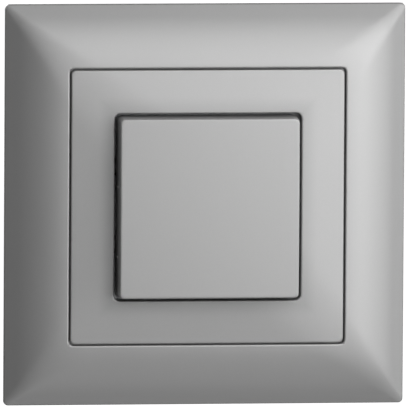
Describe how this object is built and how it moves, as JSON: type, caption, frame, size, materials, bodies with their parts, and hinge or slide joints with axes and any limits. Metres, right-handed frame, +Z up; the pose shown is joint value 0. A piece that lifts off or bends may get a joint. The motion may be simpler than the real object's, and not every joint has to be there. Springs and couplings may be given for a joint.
{
  "type": "rocker wall switch",
  "caption": "Flush rocker wall switch: square bevelled cover frame, separate centre plate and a proud square key that springs back to level, over a screwless-terminal contact mechanism.",
  "frame": {"origin": "centre of the mounting plane: the middle of the key, on the wall surface", "axes": "+Z up the wall, +X to the right as seen from the room, +Y into the wall; the key faces -Y"},
  "size_m": [0.088, 0.037, 0.088],
  "materials": {
    "silver_grey_plastic": "satin silver-grey lacquer",
    "black_plastic": "moulded, satin",
    "grey_plastic": "moulded, fine matt texture",
    "white_plastic": "moulded, low friction",
    "orange_plastic": "moulded, satin",
    "steel": "turned, zinc plated",
    "zinc_steel": "pressed sheet, zinc plated",
    "spring_steel": "drawn, bright",
    "silver": "riveted contact metal",
    "brass": "pressed strip",
    "rubber": "soft pad"
  },
  "bodies": {
    "base": {"cover_frame": "silver_grey_plastic", "centre_plate": "silver_grey_plastic", "mounting_plate": "zinc_steel", "mechanism_screws": "steel", "mechanism_cover": "black_plastic", "end_stop_pads": "rubber", "pivot_pin": "steel", "housing_base": "grey_plastic", "rear_cover": "grey_plastic", "upper_plunger_spring": "spring_steel", "lower_plunger_spring": "spring_steel", "common_strip": "brass", "upper_load_strip": "brass", "lower_load_strip": "brass", "common_fixed_contacts": "silver", "upper_fixed_contact": "silver", "lower_fixed_contact": "silver", "clamp_spring_load_upper": "spring_steel", "clamp_spring_load_lower": "spring_steel", "clamp_spring_common_upper": "spring_steel", "clamp_spring_common_lower": "spring_steel"},
    "rocker": {"rocker_key": "silver_grey_plastic", "rocker_cradle": "black_plastic"},
    "upper_plunger": {"upper_plunger": "white_plastic", "upper_contact_bridge": "brass", "upper_moving_contacts": "silver"},
    "lower_plunger": {"lower_plunger": "white_plastic", "lower_contact_bridge": "brass", "lower_moving_contacts": "silver"},
    "release_load_upper": {"release_button_load_upper": "orange_plastic"},
    "release_load_lower": {"release_button_load_lower": "orange_plastic"},
    "release_common_upper": {"release_button_common_upper": "orange_plastic"},
    "release_common_lower": {"release_button_common_lower": "orange_plastic"}
  },
  "joints": [
    {"name": "rocker_tilt", "type": "hinge", "parent": "base", "child": "rocker", "pos_m": [0, -0.0024, 0], "axis": [-1, 0, 0], "range_deg": [-5, 5], "stiffness_Nm_per_rad": 0.35},
    {"name": "upper_plunger_slide", "type": "slide", "parent": "base", "child": "upper_plunger", "axis": [0, 1, 0], "range_m": [-0.00122, 0.00122], "deforming": ["upper_plunger_spring"]},
    {"name": "lower_plunger_slide", "type": "slide", "parent": "base", "child": "lower_plunger", "axis": [0, 1, 0], "range_m": [-0.00122, 0.00122], "deforming": ["lower_plunger_spring"]},
    {"name": "release_load_upper_press", "type": "slide", "parent": "base", "child": "release_load_upper", "axis": [0, -1, 0], "range_m": [0, 0.0018], "stiffness_N_per_m": 200, "deforming": ["clamp_spring_load_upper"]},
    {"name": "release_load_lower_press", "type": "slide", "parent": "base", "child": "release_load_lower", "axis": [0, -1, 0], "range_m": [0, 0.0018], "stiffness_N_per_m": 200, "deforming": ["clamp_spring_load_lower"]},
    {"name": "release_common_upper_press", "type": "slide", "parent": "base", "child": "release_common_upper", "axis": [0, -1, 0], "range_m": [0, 0.0018], "stiffness_N_per_m": 200, "deforming": ["clamp_spring_common_upper"]},
    {"name": "release_common_lower_press", "type": "slide", "parent": "base", "child": "release_common_lower", "axis": [0, -1, 0], "range_m": [0, 0.0018], "stiffness_N_per_m": 200, "deforming": ["clamp_spring_common_lower"]}
  ],
  "couplings": [
    {"joint": "upper_plunger_slide", "follows": "rocker_tilt", "m_per_rad": 0.014},
    {"joint": "lower_plunger_slide", "follows": "rocker_tilt", "m_per_rad": -0.014}
  ]
}
